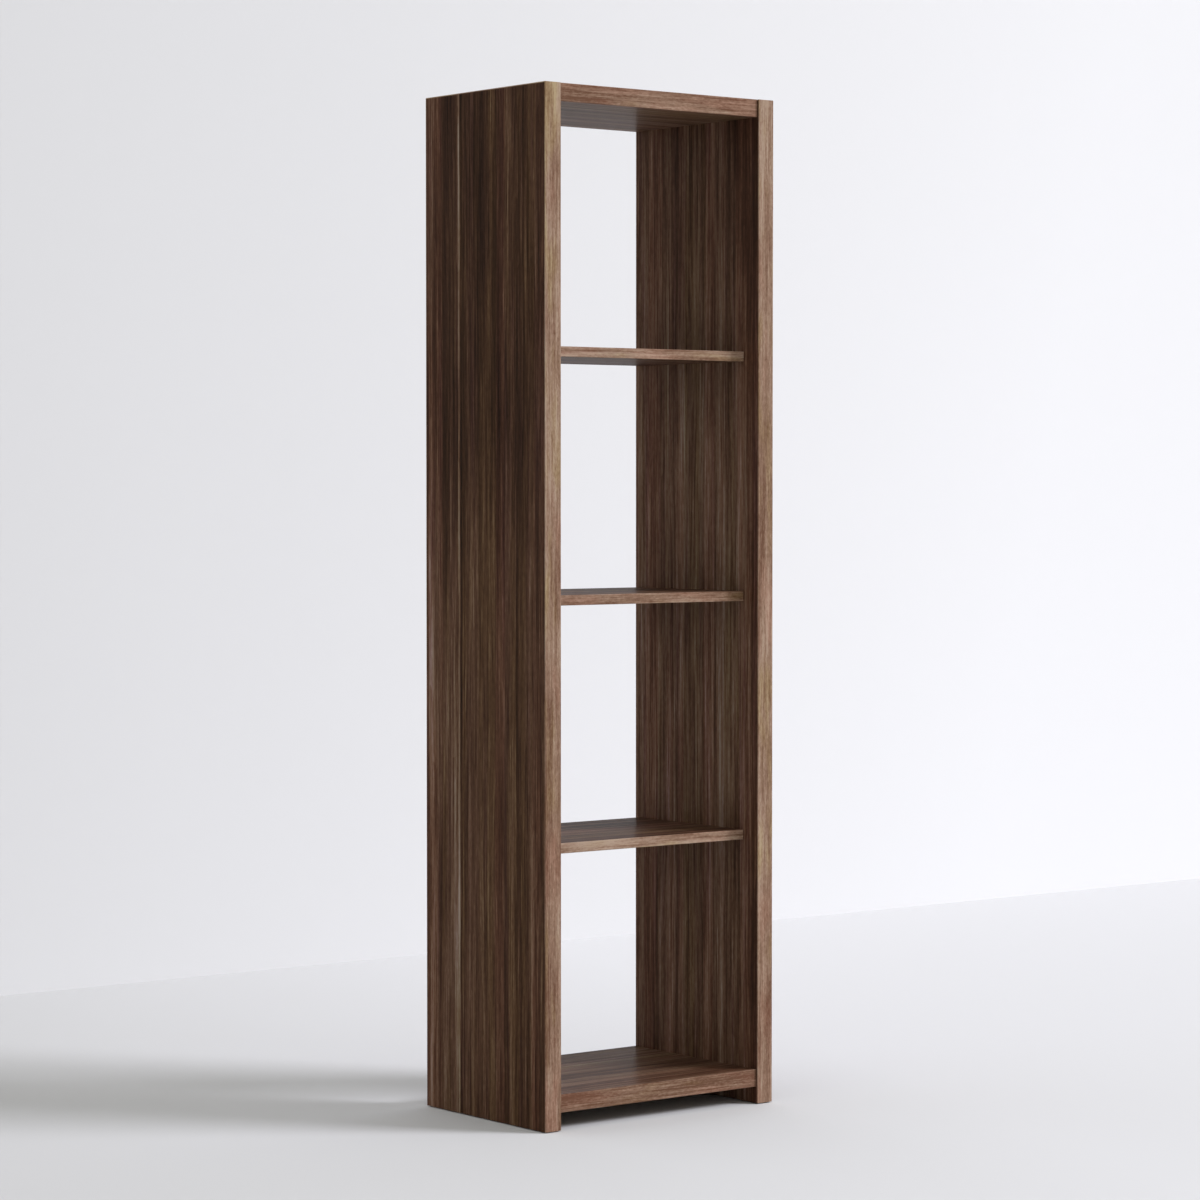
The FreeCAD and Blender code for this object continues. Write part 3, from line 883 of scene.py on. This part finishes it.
class BOOKCASE_OT_stage(bpy.types.Operator):
    """Sets up the floor, the wall, the light and the camera"""

    bl_idname = "bookcase.stage"
    bl_label = "Studio"

    # How far the floor and the wall reach each way
    REACH = 30.0

    # The lens and the sensor, in millimetres, and how far the camera sees
    LENS = 108.54
    SENSOR = 36.0
    FARTHEST_SEEN = 200.0

    # The camera: round from the front to the left, tilted down, and where it stands
    CAMERA_TURN = math.radians(38.11)
    CAMERA_TILT = math.radians(1.823)
    CAMERA_DISTANCE = 7.193
    CAMERA_HEIGHT = 1.2369

    def execute(self, context):
        look = settings().stage
        floor_paint = paint("floor_paint", look.painted_shade_floor, look.floor, FLOOR_PAINTED_FALLOFF)
        wall_paint = paint("wall_paint", look.painted_shade_wall, look.wall, WALL_PAINTED_FALLOFF)
        stage_sheet("floor", self.REACH, (0, 0, 0), (0, 0, 0), floor_paint)
        wall_middle = (0, look.wall_distance, self.REACH)
        stage_sheet("wall", self.REACH, wall_middle, (math.pi / 2, 0, 0), wall_paint)
        self.room_light(look)
        self.key_light(look)
        self.camera()
        context.scene.view_settings.view_transform = "Standard"
        return {"FINISHED"}

    def room_light(self, look):
        """Even light from all round. Behind the end of the floor, and in gloss, a plain colour shows."""
        world = bpy.data.worlds.new("room")
        bpy.context.scene.world = world
        room = Shading(world)
        even_inputs = {"Color": opaque(look.sky_colour), "Strength": look.sky}
        even = room.node("ShaderNodeBackground", {}, even_inputs)
        seen = room.node("ShaderNodeBackground", {}, {"Color": opaque(look.beyond)})
        rays = ("Is Camera Ray", "Is Glossy Ray", "Is Transmission Ray")
        shows = sum(room.node("ShaderNodeLightPath", {}, {}, ray) for ray in rays)
        light = room.node("ShaderNodeMixShader", {}, {0: shows, 1: even, 2: seen})
        room.node("ShaderNodeOutputWorld", {}, {"Surface": light})

    def key_light(self, look):
        """A soft sun from the front right."""
        level = math.cos(look.key_rise)
        toward = Vector((
            math.sin(look.key_turn) * level, -math.cos(look.key_turn) * level, math.sin(look.key_rise)
        ))
        bpy.ops.object.light_add(type="SUN", rotation=toward.to_track_quat("Z", "Y").to_euler())
        lamp = bpy.context.object
        lamp.name = "key_light"
        lamp.data.color = look.key_colour
        lamp.data.energy = look.key
        lamp.data.angle = look.key_spread

    def camera(self):
        """The camera at the front left, turned toward the middle of the case."""
        turn, distance = self.CAMERA_TURN, self.CAMERA_DISTANCE
        place = (-math.sin(turn) * distance, -math.cos(turn) * distance, self.CAMERA_HEIGHT)
        bpy.ops.object.camera_add(location=place, rotation=(math.pi / 2 - self.CAMERA_TILT, 0, -turn))
        camera = bpy.context.object
        camera.data.lens = self.LENS
        camera.data.sensor_width = self.SENSOR
        camera.data.clip_end = self.FARTHEST_SEEN
        bpy.context.scene.camera = camera


class BOOKCASE_PT_sidebar(bpy.types.Panel):
    """Lists the steps that finish the bookcase, and their settings"""

    bl_idname = "BOOKCASE_PT_sidebar"
    bl_label = "Bookcase"
    bl_space_type = "VIEW_3D"
    bl_region_type = "UI"
    bl_category = "Bookcase"

    def draw(self, context):
        for operator in OPERATORS:
            self.layout.operator(operator.bl_idname)
        look = context.scene.bookcase
        for group in (look.veneer, look.edging, look.fittings, look.stage):
            box = self.layout.box()
            for name in group.bl_rna.properties.keys():
                if name not in ("rna_type", "name"):
                    box.prop(group, name)


SETTINGS = (VeneerSettings, EdgingSettings, FittingSettings, StageSettings, BookcaseSettings)
OPERATORS = (
    BOOKCASE_OT_side_panels,
    BOOKCASE_OT_case_panels,
    BOOKCASE_OT_shelves,
    BOOKCASE_OT_edging,
    BOOKCASE_OT_fittings,
    BOOKCASE_OT_stage,
)
CLASSES = (*SETTINGS, *OPERATORS, BOOKCASE_PT_sidebar)


def register():
    for cls in CLASSES:
        bpy.utils.register_class(cls)
    bpy.types.Scene.bookcase = PointerProperty(type=BookcaseSettings)


def unregister():
    del bpy.types.Scene.bookcase
    for cls in reversed(CLASSES):
        bpy.utils.unregister_class(cls)


def main():
    """Finishes the bookcase."""
    register()
    bpy.ops.bookcase.side_panels()
    bpy.ops.bookcase.case_panels()
    bpy.ops.bookcase.shelves()
    bpy.ops.bookcase.edging()
    bpy.ops.bookcase.fittings()
    bpy.ops.bookcase.stage()


if __name__ == "__main__":
    main()
